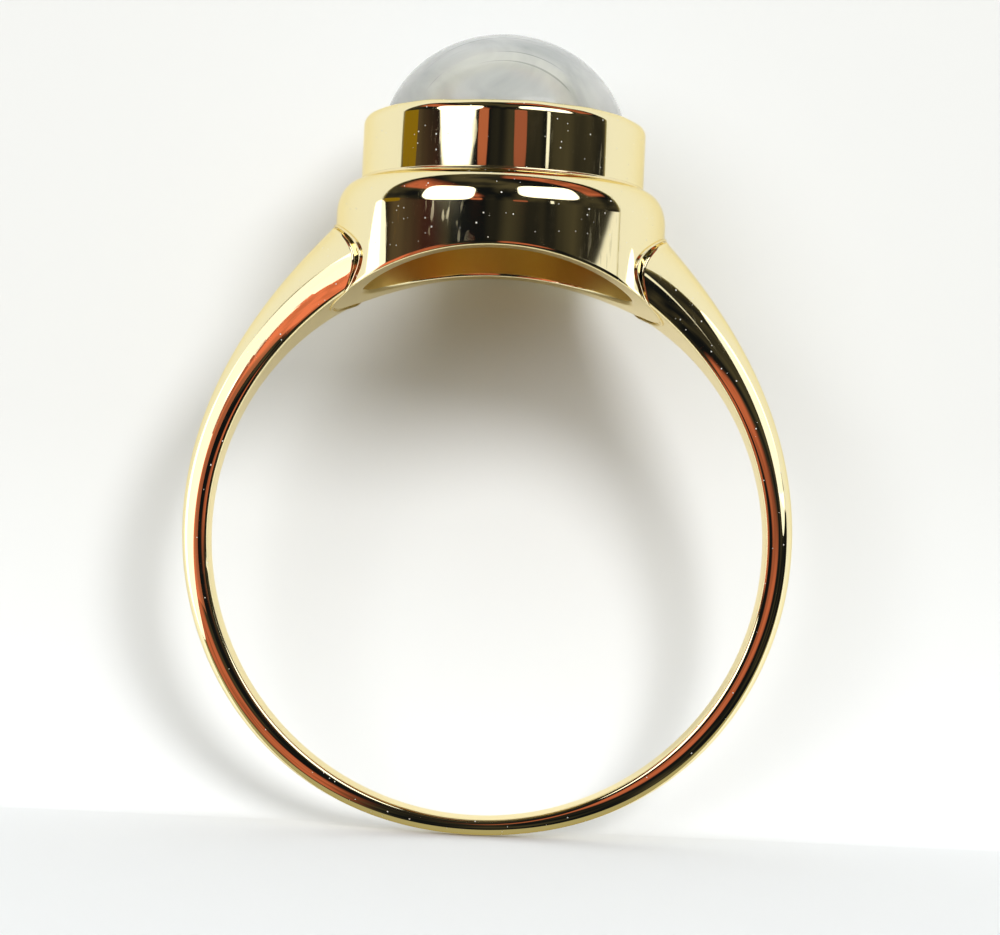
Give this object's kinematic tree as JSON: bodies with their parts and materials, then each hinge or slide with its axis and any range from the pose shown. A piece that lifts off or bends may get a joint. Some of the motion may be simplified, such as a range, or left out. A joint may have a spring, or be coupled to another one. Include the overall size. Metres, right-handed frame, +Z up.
{
  "type": "cocktail ring",
  "caption": "Yellow-gold finger ring with a tapered half-round shank, a stepped round open-backed head and a tall domed cabochon in a rub-over bezel.",
  "frame": {"origin": "centre of the finger hole", "axes": "+Y along the finger's axis, +X across the ring, +Z up through the stone"},
  "size_m": [0.019, 0.0104, 0.025],
  "materials": {
    "gold": "mirror polished 14 karat yellow gold with fine hairline scratches",
    "gold_solder": "polished gold solder, slightly paler and duller than the gold it joins",
    "stone": "polished milky grey-white translucent stone"
  },
  "bodies": {
    "root": {"shank": "gold", "gallery_wall": "gold", "gallery_deck": "gold", "bezel_wall": "gold", "bearing_ring": "gold", "left_shoulder_solder": "gold_solder", "right_shoulder_solder": "gold_solder", "bezel_solder_cove": "gold_solder", "cabochon": "stone"}
  },
  "joints": []
}
